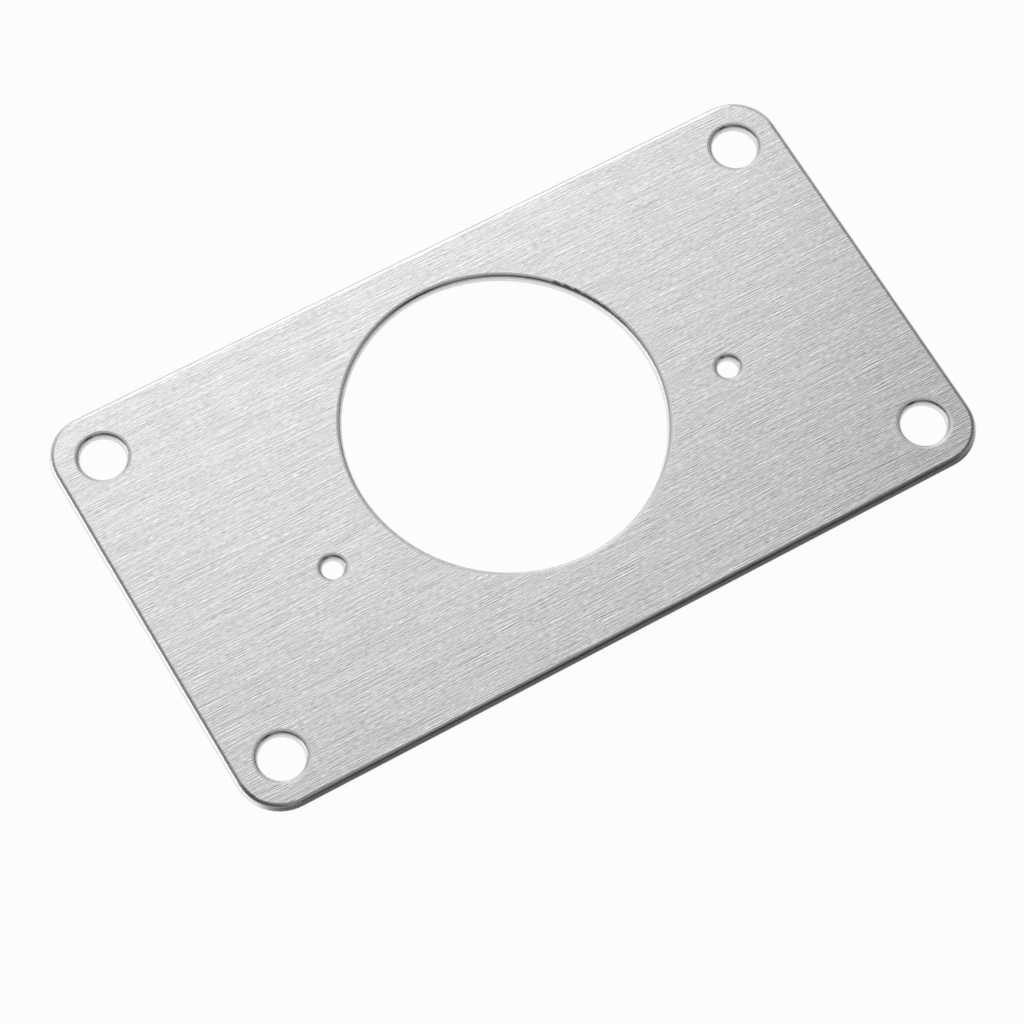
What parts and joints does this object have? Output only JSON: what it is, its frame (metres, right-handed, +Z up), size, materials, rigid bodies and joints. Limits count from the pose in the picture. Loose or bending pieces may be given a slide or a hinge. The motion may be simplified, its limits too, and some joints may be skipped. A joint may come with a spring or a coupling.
{
  "type": "hinge repair plate",
  "caption": "Flat rectangular sheet-metal plate with rounded corners, a large cup hole set off centre, two small flange holes beside it and a fixing hole in each corner.",
  "frame": {"origin": "middle of the plate's outline, on its underside", "axes": "+X along the long edges, +Y towards the long edge that the cup hole sits nearer to, +Z up out of the brushed face"},
  "size_m": [0.09, 0.05, 0.001],
  "materials": {
    "plate": "brushed along the length, satin"
  },
  "bodies": {
    "root": {"plate": "plate"}
  },
  "joints": []
}
